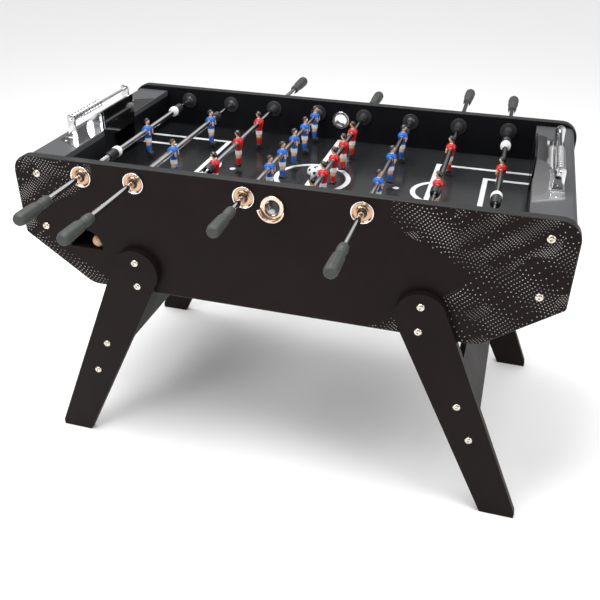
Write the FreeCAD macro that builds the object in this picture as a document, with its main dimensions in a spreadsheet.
import FreeCAD, Part
import math
import os
import re
import Sketcher

# Foosball table: a cabinet on four splayed board legs, eight telescopic player rods, two bead
# scorers and two balls.  Millimetres; +X runs along the table, +Z is up, and the origin lies on
# the floor under the middle of the cabinet.  The cabinet looks the same after half a turn about
# +Z, so most pieces are made once and copied with that half turn.

V = FreeCAD.Vector
ALONG_Y = FreeCAD.Rotation(V(1, 0, 0), -90)
HALF_TURN = FreeCAD.Rotation(V(0, 0, 1), 180)
NO_TURN = FreeCAD.Rotation()

SIZES = {
    # cabinet outline, seen from the side
    "half_length": 726,
    "half_width": 370,
    "table_height": 905,
    "panel_thickness": 25,
    "shoulder_height": 679,
    "belly_height": 543.5,
    "belly_half_length": 538,
    "top_corner_radius": 50,
    "belly_corner_radius": 60,
    "shoulder_radius": 12,
    "trim_thickness": 2.5,
    # boards inside the cabinet
    "field_height": 782,
    "field_thickness": 9,
    "field_half_length": 605,
    "end_wall_thickness": 15,
    "end_wall_drop": 78,
    "shelf_height": 890,
    "shelf_thickness": 15,
    "end_board_outer": 714,
    "end_board_thickness": 17,
    "end_board_rounding": 15,
    "underside_thickness": 12,
    "post_side": 30,
    "post_lift": 14,
    # goals and scorers
    "goal_half_width": 91,
    "guard_bottom": 866,
    "guard_top": 948,
    "guard_thickness": 4,
    "hood_radius": 52,
    "hood_half_length": 96,
    "hood_wall": 2,
    "plate_depth": 77,
    "plate_inner_half": 245,
    "plate_outer_half": 203,
    "plate_thickness": 2,
    "scorer_offset": 58,
    "scorer_rise": 50,
    "scorer_rod_radius": 4,
    "bracket_place": 162,
    "bracket_width": 26,
    "bracket_thickness": 3,
    "bracket_foot": 18,
    "bead_radius": 10.5,
    "bead_length": 16.5,
    "bead_clearance": 0.1,
    # ball return
    "return_centre": 540,
    "return_radius": 48,
    "return_sill": 654,
    "return_spring": 661,
    "tray_wall": 9,
    "tray_inner": 480,
    "tray_bend": 640,
    "tray_back": 110,
    "tray_rise": 40,
    "ball_radius": 17,
    "ball_inset": 20,
    "ball_side_gap": 4,
    "field_ball_offset": 8,
    # legs and stretchers
    "leg_thickness": 22,
    "foot_inner": 616,
    "foot_outer": 711,
    "foot_cut": 18,
    "dome_place": 390,
    "dome_height": 611,
    "dome_radius": 65.6,
    "stretcher_width": 176,
    "stretcher_thickness": 18,
    # bolts
    "panel_bolt_place": 660,
    "panel_bolt_high": 857,
    "panel_bolt_low": 704,
    "leg_bolt_place": 388.4,
    "leg_bolt_high": 640,
    "leg_bolt_low": 567.7,
    "stretcher_bolt_high_place": 510.6,
    "stretcher_bolt_high": 354,
    "stretcher_bolt_low_place": 554.7,
    "stretcher_bolt_low": 249.8,
    "bolt_head_radius": 10.5,
    "bolt_head_height": 4.5,
    "bolt_shank_radius": 4,
    "bolt_bite": 30,
    # serving cups
    "cup_height": 848,
    "cup_bore": 18.5,
    "cup_sleeve": 22,
    "cup_flange": 31,
    "cup_flange_height": 7,
    "cup_lip": 36.5,
    "cup_lip_height": 20,
    "cup_nut": 28,
    "cup_nut_height": 4,
    # rods and bearings
    "rod_height": 865,
    "rod_pitch": 150,
    "tube_radius": 8,
    "inner_rod_radius": 5,
    "inner_rod_reach": 150,
    "running_clearance": 0.08,
    "seat_clearance": 0.3,
    "bearing_flange": 25,
    "bearing_flange_height": 6,
    "sleeve_radius": 12,
    "sleeve_length": 30,
    "nub_radius": 10,
    "nub_length": 10,
    "blind_depth": 14,
    "hub_radius": 29,
    "hub_height": 6,
    "hub_dish": 4,
    # grips
    "grip_length": 128,
    "grip_neck": 14,
    "grip_waist": 12,
    "grip_body": 17.5,
    "grip_socket": 70,
    # what is on the rods
    "stop_radius": 14,
    "ring_radius": 15,
    "ring_length": 18,
    "foot_reach": 73,
    "head_reach": 36,
    "player_width": 26,
    "torso_depth": 30,
    "torso_drop": 22,
    "shoulder_rise": 13,
    "shorts_depth": 20,
    "shorts_drop": 36,
    "leg_depth": 16,
    "shoe_height": 9,
    "toe_reach": 14,
    "head_radius": 9.5,
    "neck_radius": 5,
}

# Each kind of rod: how many players, their spacing, where the outer stop starts, how long it
# is, and where the grip starts, all from the middle of the row of players.
ROD_KINDS = {
    "goalie": {"count": 1, "spacing": 0, "stop_start": 204, "stop_length": 40, "grip_start": 550},
    "two": {"count": 2, "spacing": 284, "stop_start": 177, "stop_length": 32, "grip_start": 605},
    "three": {"count": 3, "spacing": 187, "stop_start": 212, "stop_length": 28, "grip_start": 570},
    "five": {"count": 5, "spacing": 116, "stop_start": 247, "stop_length": 18, "grip_start": 522},
}

# Rods from left to right: kind, which side the grip is on, and how far the row rests from the
# middle of the table.
RODS = [
    ("goalie", "front", 20),
    ("two", "front", 16),
    ("three", "back", 0),
    ("five", "front", 66),
    ("five", "back", -50),
    ("three", "front", 10),
    ("two", "back", -3),
    ("goalie", "back", 12),
]

BEADS_PER_SCORER = 10

doc = FreeCAD.newDocument("foosball_table")
sizes = doc.addObject("Spreadsheet::Sheet", "sizes")
nodes = []


def fill_sheet():
    rows = dict(SIZES)
    for kind, values in ROD_KINDS.items():
        for word in ("spacing", "stop_start", "stop_length", "grip_start"):
            rows[f"{kind}_{word}"] = values[word]
    for number, (kind, side, rest) in enumerate(RODS, start=1):
        rows[f"rest_of_rod_{number}"] = rest
    for row, (alias, value) in enumerate(rows.items(), start=1):
        sizes.set(f"A{row}", alias)
        sizes.set(f"B{row}", str(value))
        sizes.setAlias(f"B{row}", alias)
    doc.recompute()


def on_sheet(text):
    """An expression whose words are cells of the sheet; functions keep their names."""
    return re.sub(r"\b([a-z][a-z_0-9]*)\b(?!\()", r"sizes.\1", str(text))


def number_of(text):
    return float(sizes.evalExpression(on_sheet(text)))


def bind(thing, prop, text):
    thing.setExpression(prop, on_sheet(text))


def put(thing, place, turn=NO_TURN):
    thing.Placement = FreeCAD.Placement(V(*[number_of(part) for part in place]), turn)
    for axis, part in zip("xyz", place):
        bind(thing, f"Placement.Base.{axis}", part)


def box(name, low, size):
    made = doc.addObject("Part::Box", name)
    for prop, text in zip(("Length", "Width", "Height"), size):
        bind(made, prop, text)
    put(made, low)
    return made


def cylinder(name, radius, length, base, turn=ALONG_Y):
    """A cylinder that runs towards +Y from its base."""
    made = doc.addObject("Part::Cylinder", name)
    bind(made, "Radius", radius)
    bind(made, "Height", length)
    put(made, base, turn)
    return made


def cut(name, base, tools):
    tool = tools[0] if len(tools) == 1 else fuse(name + "_tools", tools)
    made = doc.addObject("Part::Cut", name)
    made.Base = base
    made.Tool = tool
    return made


def fuse(name, pieces):
    made = doc.addObject("Part::MultiFuse", name)
    made.Shapes = pieces
    made.Refine = True
    return made


def common(name, pieces):
    made = doc.addObject("Part::MultiCommon", name)
    made.Shapes = pieces
    return made


def group(name, pieces):
    made = doc.addObject("Part::Compound", name)
    made.Links = pieces
    return made


def copy_at(name, source, place=("0", "0", "0"), turn=NO_TURN):
    made = group(name, [source])
    put(made, place, turn)
    return made


def mirrored(name, source, normal=V(1, 0, 0)):
    made = doc.addObject("Part::Mirroring", name)
    made.Source = source
    made.Base = V(0, 0, 0)
    made.Normal = normal
    return made


def with_half_turn(name, pieces):
    """The pieces and their copies half a turn about +Z further on, in one group."""
    turned = [copy_at(f"{name}_turned_{i}", piece, turn=HALF_TURN) for i, piece in enumerate(pieces)]
    return group(name, list(pieces) + turned)


def node(name, thing):
    thing.Label = name
    nodes.append(thing)
    return thing


def plane_of(body, role):
    return next(item for item in body.Origin.OriginFeatures if item.Role == role)


def sketch_on(body, name, role, offset="0"):
    sketch = body.newObject("Sketcher::SketchObject", name)
    sketch.AttachmentSupport = [(plane_of(body, role), "")]
    sketch.MapMode = "FlatFace"
    bind(sketch, "AttachmentOffset.Base.z", offset)
    return sketch


def pin_point(sketch, geometry, end, place):
    for kind, text in zip(("DistanceX", "DistanceY"), place):
        index = sketch.addConstraint(Sketcher.Constraint(kind, geometry, end, number_of(text)))
        bind(sketch, f"Constraints[{index}]", text)


def draw_polygon(sketch, corners):
    points = [V(number_of(across), number_of(up), 0) for across, up in corners]
    count = len(points)
    lines = []
    for i in range(count):
        lines.append(sketch.addGeometry(Part.LineSegment(points[i], points[(i + 1) % count])))
    for i in range(count):
        sketch.addConstraint(Sketcher.Constraint("Coincident", lines[i], 2, lines[(i + 1) % count], 1))
        pin_point(sketch, lines[i], 1, corners[i])


def padded(name, role, corners, thickness, offset="0"):
    """A board: a polygon padded by its thickness.  XZ boards grow towards -Y."""
    body = doc.addObject("PartDesign::Body", name)
    sketch = sketch_on(body, name + "_outline", role, offset)
    draw_polygon(sketch, corners)
    pad = body.newObject("PartDesign::Pad", name + "_pad")
    pad.Profile = sketch
    bind(pad, "Length", thickness)
    return body


def turned_profile(name, corners):
    """A solid of revolution about Y, drawn as (radius, y) corners."""
    body = doc.addObject("PartDesign::Body", name)
    sketch = sketch_on(body, name + "_profile", "XY_Plane")
    draw_polygon(sketch, corners)
    turn = body.newObject("PartDesign::Revolution", name + "_turn")
    turn.Profile = sketch
    turn.ReferenceAxis = (sketch, ["V_Axis"])
    turn.Angle = 360
    return body


def round_corners(body, name, corners, radius):
    """Round the edges along Y that stand at the given (x, z) corners."""
    doc.recompute()
    base = body.Tip
    wanted = [(number_of(across), number_of(up)) for across, up in corners]
    picked = []
    for i, edge in enumerate(base.Shape.Edges, start=1):
        first, last = edge.Vertexes[0].Point, edge.Vertexes[-1].Point
        along_y = math.hypot(first.x - last.x, first.z - last.z) < 0.01
        if along_y and any(math.hypot(first.x - x, first.z - z) < 0.05 for x, z in wanted):
            picked.append(f"Edge{i}")
    if len(picked) != len(wanted):
        raise RuntimeError(f"{name}: found {len(picked)} of {len(wanted)} edges to round")
    fillet = body.newObject("PartDesign::Fillet", name)
    fillet.Base = (base, picked)
    bind(fillet, "Radius", radius)


# ---------------------------------------------------------------- cabinet

SLOPE = "atan((shoulder_height - belly_height) / (half_length - belly_half_length))"


def panel_blank(name, inset):
    """The side panel's outline, padded, with its edge moved inwards by inset."""
    belly_x = f"belly_half_length - {inset} * tan({SLOPE} / 2)"
    belly_z = f"belly_height + {inset}"
    end_x = f"half_length - {inset}"
    shoulder_z = f"shoulder_height + {inset} * (1 - sin({SLOPE})) / cos({SLOPE})"
    top_z = f"table_height - {inset}"
    right = [(belly_x, belly_z), (end_x, shoulder_z), (end_x, top_z)]
    left = [(f"-({across})", up) for across, up in reversed(right)]
    body = padded(name, "XZ_Plane", right + left, "panel_thickness", "half_width - panel_thickness")
    pairs = [[right[i], left[2 - i]] for i in range(3)]
    round_corners(body, name + "_belly_round", pairs[0], f"belly_corner_radius - {inset}")
    round_corners(body, name + "_shoulder_round", pairs[1], f"shoulder_radius - {inset}")
    round_corners(body, name + "_top_round", pairs[2], f"top_corner_radius - {inset}")
    return body


def rod_place(number):
    return f"rod_pitch * ({number} - 4.5)"


def grip_sides(side):
    return [number for number, rod in enumerate(RODS, start=1) if rod[1] == side]


def side_panels():
    outer = panel_blank("panel_outer", "0")
    core = panel_blank("panel_core", "trim_thickness")
    trim = cut("front_trim", outer, [core])
    front = "-half_width - 1"
    through = "panel_thickness + 2"
    holes = []
    for number in grip_sides("front"):
        place = (rod_place(number), front, "rod_height")
        holes.append(cylinder(f"sleeve_hole_{number}", "sleeve_radius", through, place))
    for number in grip_sides("back"):
        place = (rod_place(number), "-(half_width - panel_thickness) - blind_depth", "rod_height")
        holes.append(cylinder(f"nub_hole_{number}", "nub_radius", "blind_depth + 1", place))
    holes.append(cylinder("cup_hole", "cup_sleeve", through, ("0", front, "cup_height")))
    place = ("-return_centre", front, "return_spring")
    arch = cylinder("return_arch", "return_radius", through, place)
    low = ("-return_centre - return_radius", front, "return_sill")
    size = ("2 * return_radius", through, "return_spring + 15 - return_sill")
    sides = box("return_sides", low, size)
    low = ("-return_centre - return_radius - 1", "-half_width - 2", "return_sill")
    size = ("2 * return_radius + 2", "panel_thickness + 4", "return_radius + 20")
    above_sill = box("return_above_sill", low, size)
    holes.append(common("return_hole", [fuse("return_whole", [arch, sides]), above_sill]))
    for i, (across, up, _) in enumerate(panel_bolts() + leg_bolts()):
        for side in ("", "-"):
            place = (f"{side}({across})", front, up)
            name = f"bolt_hole_{i}{'b' if side else 'a'}"
            holes.append(cylinder(name, "bolt_shank_radius", through, place))
    panel = cut("front_panel_cut", core, holes)
    node("front_side_panel", panel)
    node("back_side_panel", copy_at("back_panel_copy", panel, turn=HALF_TURN))
    node("edge_trims", with_half_turn("edge_trims", [trim]))


def end_walls():
    low = ("field_half_length", "-(half_width - panel_thickness)", "field_height - end_wall_drop")
    size = ("end_wall_thickness", "2 * (half_width - panel_thickness)",
            "shelf_height - shelf_thickness - field_height + end_wall_drop")
    board = box("end_wall_board", low, size)
    low = ("field_half_length - 1", "-goal_half_width", "field_height")
    size = ("end_wall_thickness + 2", "2 * goal_half_width", "shelf_height")
    mouth = box("goal_mouth", low, size)
    node("end_walls", with_half_turn("end_walls", [cut("end_wall", board, [mouth])]))


def end_shelf():
    low = ("field_half_length", "-(half_width - panel_thickness)", "shelf_height - shelf_thickness")
    size = ("end_board_outer - end_board_thickness - field_half_length",
            "2 * (half_width - panel_thickness)", "shelf_thickness")
    board = box("shelf_board", low, size)
    low = ("field_half_length - 1", "-(hood_half_length - hood_wall)",
           "shelf_height - shelf_thickness - 1")
    size = ("hood_radius + 1", "2 * (hood_half_length - hood_wall)", "shelf_thickness + 2")
    window = box("shelf_window", low, size)
    return cut("shelf", board, [window])


def cabinet_boards():
    """Shelves, upright end boards, sloped underside boards, corner posts and the bottom board."""
    inner = "end_board_outer - end_board_thickness"
    side = "-(half_width - panel_thickness)"
    span = "2 * (half_width - panel_thickness)"
    underside = "belly_height + trim_thickness"
    rise = f"underside_thickness / cos({SLOPE})"
    foot = f"{underside} + ({inner} - belly_half_length) * tan({SLOPE}) + {rise}"
    lower = box("end_board_lower", (inner, side, foot),
                ("end_board_thickness", span, f"shelf_height - end_board_rounding - ({foot})"))
    centre = ("end_board_outer - end_board_rounding", side, "shelf_height - end_board_rounding")
    barrel = cylinder("end_board_barrel", "end_board_rounding", span, centre)
    outer_half = box("end_board_outer_half", centre,
                     ("end_board_rounding", span, "end_board_rounding"))
    strip = box("end_board_strip", (inner, side, centre[2]),
                ("end_board_thickness - end_board_rounding", span, "end_board_rounding"))
    rounding = common("end_board_round", [barrel, outer_half])
    upright = fuse("end_board", [lower, strip, rounding])
    corners = [
        ("belly_half_length", underside),
        ("end_board_outer", f"{underside} + (end_board_outer - belly_half_length) * tan({SLOPE})"),
        ("end_board_outer", foot),
        (inner, foot),
        ("belly_half_length", f"{underside} + {rise}"),
    ]
    slope = padded("slope_board", "XZ_Plane", corners, span, side)
    posts = []
    for i, edge in enumerate(("-1", "1")):
        low = ("panel_bolt_place - post_side / 2",
               f"{edge} * (half_width - panel_thickness - post_side / 2) - post_side / 2",
               "shoulder_height + post_lift")
        size = ("post_side", "post_side",
                "shelf_height - shelf_thickness - shoulder_height - post_lift")
        post = box(f"post_{i}", low, size)
        bores = []
        for height in ("panel_bolt_low", "panel_bolt_high"):
            base = ("panel_bolt_place", f"{edge} * (half_width - panel_thickness) - bolt_bite + 2",
                    height)
            bores.append(cylinder(f"post_bore_{i}_{height}", "bolt_shank_radius",
                                  "2 * bolt_bite - 4", base))
        posts.append(cut(f"corner_post_{i}", post, bores))
    low = ("-belly_half_length", side, "belly_height + trim_thickness")
    bottom = box("bottom_board", low, ("2 * belly_half_length", span, "underside_thickness"))
    halves = with_half_turn("end_framing", [end_shelf(), upright, slope] + posts)
    node("cabinet_boards", group("cabinet_boards", [halves, bottom]))


def playfield():
    low = ("-field_half_length", "-(half_width - panel_thickness)", "field_height - field_thickness")
    size = ("2 * field_half_length", "2 * (half_width - panel_thickness)", "field_thickness")
    node("playfield", box("field_board", low, size))


def return_trays():
    """A trough behind each return opening, with a wing that catches the ball under the goal."""
    inner = "end_board_outer - end_board_thickness"
    corners = [
        ("-tray_inner", "return_sill + tray_rise"),
        ("-tray_inner", "return_sill - tray_wall"),
        ("-tray_bend", "return_sill - tray_wall"),
        (f"-({inner})", "return_sill + tray_rise - tray_wall"),
        (f"-({inner})", "return_sill + tray_rise"),
        ("-tray_bend", "return_sill"),
        ("-tray_inner - tray_wall", "return_sill"),
        ("-tray_inner - tray_wall", "return_sill + tray_rise"),
    ]
    # the trough stops short of the corner post that stands beside the wing
    trough = padded("trough", "XZ_Plane", corners,
                    "tray_back + half_width - panel_thickness - post_side - 2", "-tray_back")
    low = ("-tray_bend", "-(half_width - panel_thickness)", "return_sill - tray_wall")
    size = ("tray_bend - tray_inner", "post_side + 2", "tray_wall")
    lip = box("trough_lip", low, size)
    low = (f"-tray_bend", "tray_back", "return_sill - tray_wall")
    size = ("tray_bend - tray_inner", "tray_wall", "tray_wall + tray_rise")
    stop = box("trough_stop", low, size)
    tray = fuse("return_tray", [trough, lip, stop])
    node("return_trays", with_half_turn("return_trays", [tray]))


# ---------------------------------------------------------------- legs

def legs():
    body = doc.addObject("PartDesign::Body", "leg_right")
    sketch = sketch_on(body, "leg_outline", "XZ_Plane", "half_width")
    centre = V(number_of("dome_place"), number_of("dome_height"), 0)
    radius = number_of("dome_radius")
    lean = math.radians(23)
    first, last = -lean * 0.9, math.pi + -lean * 1.1
    arc = sketch.addGeometry(Part.ArcOfCircle(Part.Circle(centre, V(0, 0, 1), radius), first, last))
    ends = [centre + V(math.cos(a), math.sin(a), 0) * radius for a in (first, last)]
    feet = [("foot_outer", "foot_cut"), ("foot_outer", "0"), ("foot_inner", "0")]
    toe = [V(number_of(across), number_of(up), 0) for across, up in feet]
    chain = [ends[0]] + toe + [ends[1]]
    lines = [sketch.addGeometry(Part.LineSegment(a, b)) for a, b in zip(chain, chain[1:])]
    for a, b in zip(lines, lines[1:]):
        sketch.addConstraint(Sketcher.Constraint("Coincident", a, 2, b, 1))
    sketch.addConstraint(Sketcher.Constraint("Tangent", arc, 1, lines[0], 1))
    sketch.addConstraint(Sketcher.Constraint("Tangent", arc, 2, lines[-1], 2))
    pin_point(sketch, arc, 3, ("dome_place", "dome_height"))
    index = sketch.addConstraint(Sketcher.Constraint("Radius", arc, radius))
    bind(sketch, f"Constraints[{index}]", "dome_radius")
    for line, place in zip(lines[1:], feet):
        pin_point(sketch, line, 1, place)
    pad = body.newObject("PartDesign::Pad", "leg_pad")
    pad.Profile = sketch
    bind(pad, "Length", "leg_thickness")
    bores = []
    for i, (across, up, _) in enumerate(leg_bolts() + stretcher_bolts()):
        place = (across, "-half_width - leg_thickness - 1", up)
        bores.append(cylinder(f"leg_bore_{i}", "bolt_shank_radius", "leg_thickness + 2", place))
    leg = cut("leg_front_right", body, bores)
    node("legs", with_half_turn("legs", [leg, mirrored("leg_front_left", leg)]))


def leg_stretchers():
    """One board between each pair of legs, in the plane of the legs' lower bolts."""
    run = "(stretcher_bolt_low_place - stretcher_bolt_high_place)"
    drop = "(stretcher_bolt_high - stretcher_bolt_low)"
    lean = f"atan({run} / {drop})"
    middle = (f"(stretcher_bolt_low_place + stretcher_bolt_high_place) / 2",
              f"(stretcher_bolt_high + stretcher_bolt_low) / 2")
    corners = []
    for along, across in ((-1, -1), (-1, 1), (1, 1), (1, -1)):
        long_x = f"{along} * stretcher_width / 2 * sin({lean})"
        long_z = f"{-along} * stretcher_width / 2 * cos({lean})"
        wide_x = f"{across} * stretcher_thickness / 2 * cos({lean})"
        wide_z = f"{across} * stretcher_thickness / 2 * sin({lean})"
        corners.append((f"{middle[0]} + {long_x} + {wide_x}", f"{middle[1]} + {long_z} + {wide_z}"))
    board = padded("stretcher_board", "XZ_Plane", corners, "2 * half_width", "-half_width")
    bores = []
    for i, (across, up, _) in enumerate(stretcher_bolts()):
        for end in ("-1", "1"):
            place = (across, f"{end} * half_width - bolt_bite - 1", up)
            name = f"stretcher_bore_{i}_{'front' if end == '-1' else 'back'}"
            bores.append(cylinder(name, "bolt_shank_radius", "2 * bolt_bite + 2", place))
    node("leg_stretchers", with_half_turn("leg_stretchers", [cut("stretcher", board, bores)]))


# ---------------------------------------------------------------- bolts

def panel_bolts():
    return [("panel_bolt_place", "panel_bolt_high", "panel_thickness + bolt_bite - 6"),
            ("panel_bolt_place", "panel_bolt_low", "panel_thickness + bolt_bite - 6")]


def leg_bolts():
    return [("leg_bolt_place", "leg_bolt_high", "leg_thickness + panel_thickness"),
            ("leg_bolt_place", "leg_bolt_low", "leg_thickness + panel_thickness")]


def stretcher_bolts():
    return [("stretcher_bolt_high_place", "stretcher_bolt_high", "leg_thickness + bolt_bite"),
            ("stretcher_bolt_low_place", "stretcher_bolt_low", "leg_thickness + bolt_bite")]


def bolt(name, shank):
    corners = [("0", f"{shank}"), ("0", "-bolt_head_height"), ("bolt_head_radius * 0.55",
               "-bolt_head_height"), ("bolt_head_radius * 0.88", "-bolt_head_height * 0.6"),
               ("bolt_head_radius", "0"), ("bolt_shank_radius", "0"),
               ("bolt_shank_radius", f"{shank}")]
    return turned_profile(name, corners)


def bolts():
    placed = []
    kinds = [("panel_bolt", panel_bolts(), "-half_width"),
             ("leg_bolt", leg_bolts(), "-half_width - leg_thickness"),
             ("stretcher_bolt", stretcher_bolts(), "-half_width - leg_thickness")]
    for kind, places, face in kinds:
        template = bolt(kind + "_template", places[0][2])
        for i, (across, up, shank) in enumerate(places):
            for side in ("", "-"):
                name = f"{kind}_{i}_{'left' if side else 'right'}"
                placed.append(copy_at(name, template, (f"{side}({across})", face, up)))
    node("bolts", with_half_turn("bolts", placed))


# ---------------------------------------------------------------- cups, hoods, scorers

def serving_cups():
    corners = [
        ("cup_bore", "-half_width - cup_flange_height"),
        ("cup_flange - 3", "-half_width - cup_flange_height"),
        ("cup_flange", "-half_width - cup_flange_height + 3"),
        ("cup_flange", "-half_width"),
        ("cup_sleeve", "-half_width"),
        ("cup_sleeve", "-half_width + panel_thickness"),
        ("cup_nut", "-half_width + panel_thickness"),
        ("cup_nut", "-half_width + panel_thickness + cup_nut_height"),
        ("cup_bore", "-half_width + panel_thickness + cup_nut_height"),
    ]
    ring = copy_at("cup_ring", turned_profile("cup_profile", corners), ("0", "0", "cup_height"))
    face = "-half_width - cup_lip_height"
    shell = cylinder("lip_outer", "cup_lip", "cup_lip_height", ("0", face, "cup_height"))
    hollow = cylinder("lip_inner", "cup_flange - 1", "cup_lip_height + 2",
                      ("0", f"{face} - 1", "cup_height"))
    upper = box("lip_above", ("-cup_lip - 1", f"{face} - 1", "cup_height - 4"),
                ("2 * cup_lip + 2", "cup_lip_height + 2", "cup_lip + 5"))
    lip = cut("cup_scoop", shell, [hollow, upper])
    node("serving_cups", with_half_turn("serving_cups", [fuse("cup", [ring, lip])]))


HOOD_FACE = "field_half_length + 2"


def goal_hoods():
    """A chromed plate with a closed quarter-round hood over the goal box."""
    length = "2 * hood_half_length"
    outer = cylinder("hood_outer", "hood_radius", length,
                     (HOOD_FACE, "-hood_half_length", "shelf_height"))
    quarter = box("hood_quarter", (HOOD_FACE, "-hood_half_length", "shelf_height"),
                  ("hood_radius + 1", length, "hood_radius + 1"))
    inner = cylinder("hood_inner", "hood_radius - hood_wall", "2 * (hood_half_length - hood_wall)",
                     (HOOD_FACE, "-(hood_half_length - hood_wall)", "shelf_height"))
    corners = [
        (HOOD_FACE, "-plate_inner_half"),
        (f"{HOOD_FACE} + plate_depth", "-plate_outer_half"),
        (f"{HOOD_FACE} + plate_depth", "plate_outer_half"),
        (HOOD_FACE, "plate_inner_half"),
    ]
    plate = padded("hood_plate", "XY_Plane", corners, "plate_thickness", "shelf_height")
    dome = common("hood_dome", [outer, quarter])
    hood = cut("hood", fuse("hood_whole", [dome, plate]), [inner])
    node("goal_hoods", with_half_turn("goal_hoods", [hood]))


def goal_guards():
    low = ("field_half_length - guard_thickness", "-goal_half_width", "guard_bottom")
    size = ("guard_thickness", "2 * goal_half_width", "guard_top - guard_bottom")
    node("goal_guards", with_half_turn("goal_guards", [box("guard", low, size)]))


SCORER_X = "field_half_length + 2 + scorer_offset"
SCORER_Z = "shelf_height + scorer_rise"
PLATE_TOP = "shelf_height + plate_thickness"


def scorer_frames():
    reach = "bracket_place + bracket_thickness + 3"
    rod = cylinder("scorer_rod", "scorer_rod_radius", f"2 * ({reach})",
                   (SCORER_X, f"-({reach})", SCORER_Z))
    feet = []
    for i, edge in enumerate(("-1", "1")):
        upright_low = (f"{SCORER_X} - bracket_width / 2",
                       f"{edge} * (bracket_place + bracket_thickness / 2) - bracket_thickness / 2",
                       PLATE_TOP)
        upright = box(f"bracket_upright_{i}", upright_low,
                      ("bracket_width", "bracket_thickness", f"{SCORER_Z} - ({PLATE_TOP})"))
        crown = cylinder(f"bracket_crown_{i}", "bracket_width / 2", "bracket_thickness",
                         (SCORER_X, upright_low[1], SCORER_Z))
        foot_low = (f"{SCORER_X} - bracket_width / 2",
                    f"{edge} * (bracket_place + bracket_foot / 2) - bracket_foot / 2", PLATE_TOP)
        foot = box(f"bracket_foot_{i}", foot_low,
                   ("bracket_width", "bracket_foot", "bracket_thickness"))
        bore = cylinder(f"bracket_bore_{i}", "scorer_rod_radius", "40",
                        (SCORER_X, f"{upright_low[1]} - 20", SCORER_Z))
        feet.append(cut(f"bracket_{i}", fuse(f"bracket_whole_{i}", [upright, crown, foot]), [bore]))
    node("scorer_frames", with_half_turn("scorer_frames", [rod] + feet))


def scorer_beads():
    ring = cut("bead_template",
               cylinder("bead_outer", "bead_radius", "bead_length", ("0", "0", "0")),
               [cylinder("bead_bore", "scorer_rod_radius + bead_clearance", "bead_length + 2",
                         ("0", "-1", "0"))])
    for side, sign in (("left", "-"), ("right", "")):
        beads = []
        for i in range(BEADS_PER_SCORER):
            place = (f"{sign}({SCORER_X})", f"-bracket_place + 1 + {i} * bead_length", SCORER_Z)
            beads.append(copy_at(f"bead_{side}_{i}", ring, place))
        node(f"scorer_beads_{side}", group(f"scorer_beads_{side}", beads))


def ball(name, place):
    made = doc.addObject("Part::Sphere", f"{name}_solid")
    bind(made, "Radius", "ball_radius")
    put(made, place)
    node(name, made)


def balls():
    """One ball waits in the left return opening and one lies at the middle of the field."""
    ball("tray_ball", ("-return_centre + return_radius - ball_radius - ball_side_gap",
                       "-half_width + ball_inset", "return_sill + ball_radius"))
    ball("field_ball", ("0", "field_ball_offset", "field_height + ball_radius"))


# ---------------------------------------------------------------- bearings

def bearings():
    inside = "-(half_width - panel_thickness)"
    through = turned_profile("through_bearing", [
        ("tube_radius + running_clearance", f"{inside} + sleeve_length"),
        ("sleeve_radius", f"{inside} + sleeve_length"),
        ("sleeve_radius", f"{inside} + bearing_flange_height"),
        ("bearing_flange", f"{inside} + bearing_flange_height"),
        ("bearing_flange", inside),
        ("sleeve_radius", inside),
        ("sleeve_radius", "-half_width - hub_height - 2"),
        ("tube_radius + running_clearance", "-half_width - hub_height - 2"),
    ])
    bore = "inner_rod_radius + running_clearance"
    blind = turned_profile("blind_bearing", [
        (bore, f"{inside} + nub_length"),
        ("nub_radius", f"{inside} + nub_length"),
        ("nub_radius", f"{inside} + bearing_flange_height"),
        ("bearing_flange", f"{inside} + bearing_flange_height"),
        ("bearing_flange", inside),
        ("nub_radius", inside),
        ("nub_radius", f"{inside} - blind_depth"),
        ("0", f"{inside} - blind_depth"),
        ("0", f"{inside} - blind_depth + 2"),
        (bore, f"{inside} - blind_depth + 2"),
    ])
    hub = turned_profile("outer_hub", [
        ("sleeve_radius", "-half_width"),
        ("hub_radius", "-half_width"),
        ("hub_radius", "-half_width - hub_height + 1"),
        ("hub_radius - 1.5", "-half_width - hub_height"),
        ("hub_radius - 3", "-half_width - hub_height"),
        ("sleeve_radius + 3", "-half_width - hub_height + hub_dish"),
        ("sleeve_radius", "-half_width - hub_height + hub_dish"),
    ])
    placed, hubs = [], []
    for number in grip_sides("front"):
        place = (rod_place(number), "0", "rod_height")
        placed.append(copy_at(f"through_bearing_{number}", through, place))
        hubs.append(copy_at(f"hub_{number}", hub, place))
    for number in grip_sides("back"):
        place = (rod_place(number), "0", "rod_height")
        placed.append(copy_at(f"blind_bearing_{number}", blind, place))
    node("rod_bearings", with_half_turn("rod_bearings", placed))
    node("outer_hubs", with_half_turn("outer_hubs", hubs))


# ---------------------------------------------------------------- rods
# Every rod piece is drawn for a rod whose grip is at -Y and whose players look towards +X, with
# the middle of its players at the origin.  Rods with the grip at the back get a half turn.

def tube_of(kind):
    end = f"{kind}_stop_start + {kind}_stop_length"
    start = f"-{kind}_grip_start - grip_socket"
    outer = cylinder(f"{kind}_tube_outer", "tube_radius", f"{end} - ({start})", ("0", start, "0"))
    bore = cylinder(f"{kind}_tube_bore", "inner_rod_radius + running_clearance",
                    f"{end} - ({start}) + 2", ("0", f"{start} - 1", "0"))
    return cut(f"{kind}_tube", outer, [bore])


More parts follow.
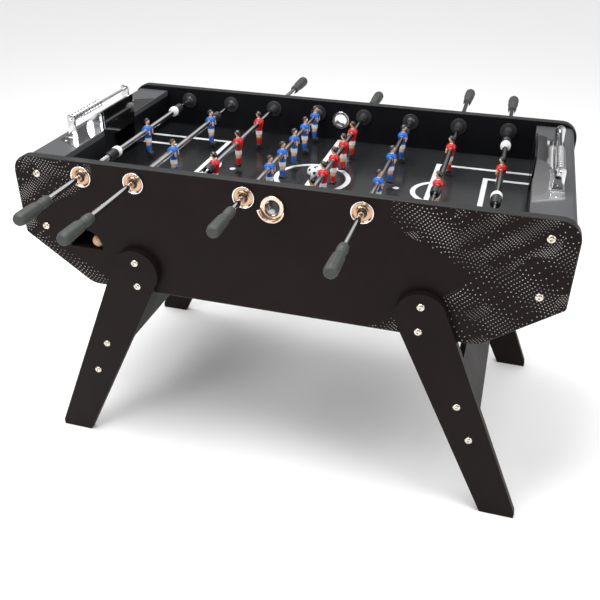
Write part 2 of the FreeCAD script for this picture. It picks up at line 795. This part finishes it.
def grip_of(kind):
    start = f"-{kind}_grip_start"
    end = f"{start} - grip_length"
    socket = f"{start} - grip_socket"
    return turned_profile(f"{kind}_grip", [
        ("tube_radius", start),
        ("grip_neck - 1.5", start),
        ("grip_neck", f"{start} - 2"),
        ("grip_neck", f"{start} - 24"),
        ("grip_waist", f"{start} - 34"),
        ("grip_waist", f"{start} - 40"),
        ("grip_body - 1.5", f"{start} - 54"),
        ("grip_body", f"{end} + 8"),
        ("grip_body - 4", end),
        ("0", end),
        ("0", socket),
        ("tube_radius", socket),
    ])


def ring_around_tube(name, radius, start, length):
    outer = cylinder(f"{name}_outer", radius, length, ("0", start, "0"))
    bore = cylinder(f"{name}_bore", "tube_radius", f"{length} + 2", ("0", f"{start} - 1", "0"))
    return cut(name, outer, [bore])


def stops_of(kind):
    """A stop at the far end; goalies also have one at the grip end, and a ring beside each."""
    start = f"{kind}_stop_start"
    length = f"{kind}_stop_length"
    rings = [ring_around_tube(f"{kind}_end_stop", "stop_radius", start, length)]
    if kind == "goalie":
        rings += [
            ring_around_tube("goalie_grip_stop", "stop_radius", f"-{start} - {length}", length),
            ring_around_tube("goalie_end_ring", "ring_radius", f"{start} - ring_length",
                             "ring_length"),
            ring_around_tube("goalie_grip_ring", "ring_radius", f"-{start}", "ring_length"),
        ]
    return group(f"{kind}_stops", rings)


def player():
    """One moulded player around the tube, looking towards +X, feet down."""
    half = "player_width / 2"
    torso = box("torso", ("-torso_depth / 2", f"-{half}", "-torso_drop"),
                ("torso_depth", "player_width", "torso_drop + shoulder_rise"))
    legs = box("both_legs", ("-leg_depth / 2", "-player_width * 0.32", "-foot_reach"),
               ("leg_depth", "player_width * 0.64", "foot_reach - torso_drop + 1"))
    shorts = box("shorts", ("-shorts_depth / 2", "-player_width * 0.38", "-shorts_drop"),
                 ("shorts_depth", "player_width * 0.76", "shorts_drop - torso_drop + 1"))
    shoes = box("shoes", ("-leg_depth / 2", "-player_width * 0.36", "-foot_reach"),
                ("leg_depth / 2 + toe_reach", "player_width * 0.72", "shoe_height"))
    neck = cylinder("neck", "neck_radius", "head_reach - head_radius", ("0", "0", "0"), NO_TURN)
    head = doc.addObject("Part::Sphere", "head")
    bind(head, "Radius", "head_radius")
    put(head, ("0", "0", "head_reach - head_radius"))
    whole = fuse("player_whole", [torso, legs, shorts, shoes, neck, head])
    bore = cylinder("player_bore", "tube_radius", "player_width + 2", ("0", f"-{half} - 1", "0"))
    return cut("player", whole, [bore])


def players_of(kind, template):
    count = ROD_KINDS[kind]["count"]
    placed = []
    for i in range(count):
        place = ("0", f"{kind}_spacing * {i - (count - 1) / 2}", "0")
        placed.append(copy_at(f"{kind}_player_{i}", template, place))
    return group(f"{kind}_players", placed)


def inner_rod():
    end = "half_width - panel_thickness + blind_depth - 2 - seat_clearance"
    return cylinder("inner_rod", "inner_rod_radius", f"{end} + inner_rod_reach",
                    ("0", "-inner_rod_reach", "0"))


def rods():
    template = player()
    inner = inner_rod()
    pieces = {}
    for kind in ROD_KINDS:
        pieces[kind] = {"tube": tube_of(kind), "grip": grip_of(kind), "stops": stops_of(kind),
                        "players": players_of(kind, template)}
    for number, (kind, side, rest) in enumerate(RODS, start=1):
        turn = NO_TURN if side == "front" else HALF_TURN
        place = (rod_place(number), f"rest_of_rod_{number}", "rod_height")
        for word, piece in pieces[kind].items():
            name = f"rod_{number}_{word}"
            node(name, copy_at(name, piece, place, turn))
        name = f"rod_{number}_inner"
        node(name, copy_at(name, inner, (rod_place(number), "0", "rod_height"), turn))


# ---------------------------------------------------------------- check and write

def check_everything():
    doc.recompute()
    for thing in doc.Objects:
        if any(word in thing.State for word in ("Invalid", "Error")):
            raise RuntimeError(f"{thing.Label} did not recompute: {thing.State}")
    for thing in nodes:
        shape = thing.Shape
        if shape.isNull() or not shape.isValid() or not shape.Solids:
            raise RuntimeError(f"{thing.Label} has no valid solid")


def write_parts():
    os.makedirs("parts", exist_ok=True)
    for thing in nodes:
        flat = Part.Compound([solid.copy() for solid in thing.Shape.Solids])
        flat.exportStep(os.path.join("parts", thing.Label + ".step"))


def main():
    fill_sheet()
    side_panels()
    end_walls()
    cabinet_boards()
    playfield()
    return_trays()
    legs()
    leg_stretchers()
    bolts()
    serving_cups()
    goal_hoods()
    goal_guards()
    scorer_frames()
    scorer_beads()
    balls()
    bearings()
    rods()
    check_everything()
    write_parts()
    print(len(nodes), "nodes,", sum(len(thing.Shape.Solids) for thing in nodes), "solids")


main()
